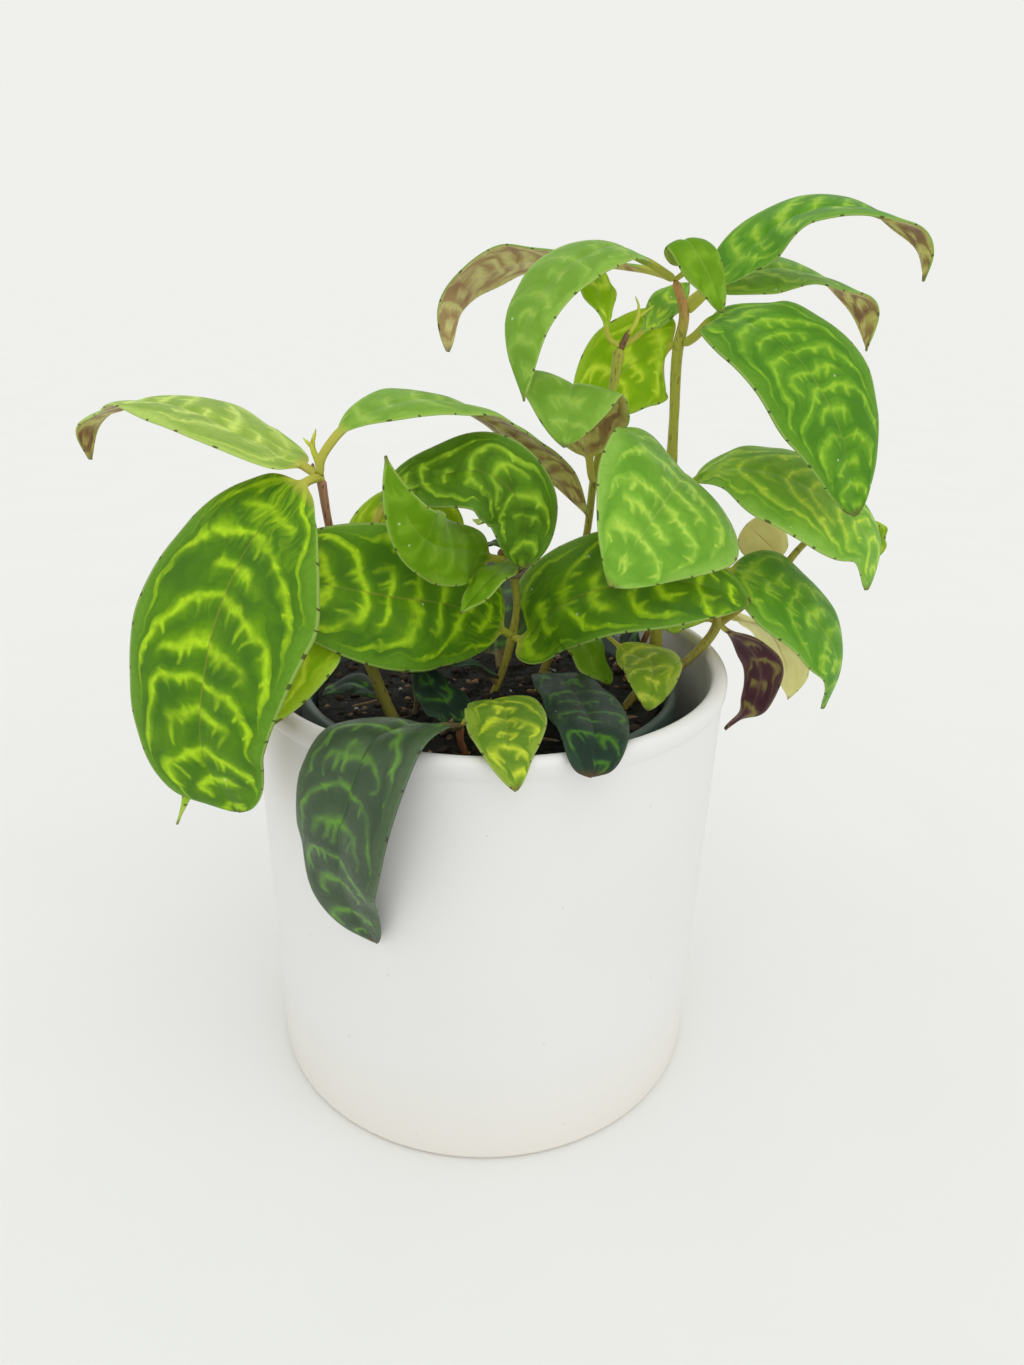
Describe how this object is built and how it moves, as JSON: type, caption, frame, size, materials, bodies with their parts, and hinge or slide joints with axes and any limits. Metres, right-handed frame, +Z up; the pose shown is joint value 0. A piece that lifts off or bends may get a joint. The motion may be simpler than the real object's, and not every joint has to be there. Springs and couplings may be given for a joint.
{
  "type": "potted lipstick plant",
  "caption": "Small potted houseplant with long arching zebra-marked leaves on slender stems, in a dark plastic nursery pot set inside a white cylindrical cachepot.",
  "frame": {"origin": "centre of the cachepot's flat base, on the surface it stands on", "axes": "+Z up along the cachepot's axis; -Y is the front that the picture shows; +X is to its right"},
  "size_m": [0.2106, 0.1407, 0.2352],
  "materials": {
    "white_glaze": "satin",
    "dark_plastic": "satin",
    "potting_mix": "matte",
    "olive_stem": "satin",
    "red_stem": "satin",
    "leaf_zebra": "satin",
    "leaf_young": "satin",
    "leaf_old": "satin",
    "leaf_light": "satin",
    "leaf_pale": "satin",
    "leaf_dark": "satin"
  },
  "bodies": {
    "root": {"cachepot": "white_glaze", "nursery_pot": "dark_plastic", "potting_mix": "potting_mix", "stem_left": "olive_stem", "stem_middle": "olive_stem", "stem_inner": "olive_stem", "stem_tall": "olive_stem", "stem_right": "olive_stem", "stem_front": "red_stem", "stem_thin": "red_stem", "leaf_left_1": "leaf_young", "leaf_left_2": "leaf_zebra", "leaf_left_3": "leaf_young", "leaf_left_4": "leaf_zebra", "leaf_left_5": "leaf_zebra", "leaf_left_6": "leaf_zebra", "leaf_left_7": "leaf_old", "leaf_middle_1": "leaf_zebra", "leaf_middle_2": "leaf_zebra", "leaf_middle_3": "leaf_young", "leaf_middle_4": "leaf_young", "leaf_middle_5": "leaf_light", "leaf_middle_6": "leaf_old", "leaf_middle_7": "leaf_old", "leaf_middle_8": "leaf_old", "leaf_inner_1": "leaf_young", "leaf_inner_2": "leaf_zebra", "leaf_inner_3": "leaf_young", "leaf_inner_4": "leaf_young", "leaf_inner_5": "leaf_old", "leaf_inner_6": "leaf_zebra", "leaf_inner_7": "leaf_light", "leaf_tall_1": "leaf_young", "leaf_tall_2": "leaf_young", "leaf_tall_3": "leaf_young", "leaf_tall_4": "leaf_zebra", "leaf_tall_5": "leaf_young", "leaf_tall_6": "leaf_young", "leaf_tall_7": "leaf_young", "leaf_tall_8": "leaf_young", "leaf_tall_9": "leaf_young", "leaf_right_1": "leaf_young", "leaf_right_2": "leaf_pale", "leaf_right_3": "leaf_dark", "leaf_right_4": "leaf_zebra", "leaf_right_5": "leaf_pale", "leaf_right_6": "leaf_light", "leaf_front_1": "leaf_light", "leaf_front_2": "leaf_old", "leaf_front_3": "leaf_old", "leaf_thin_1": "leaf_old"}
  },
  "joints": []
}
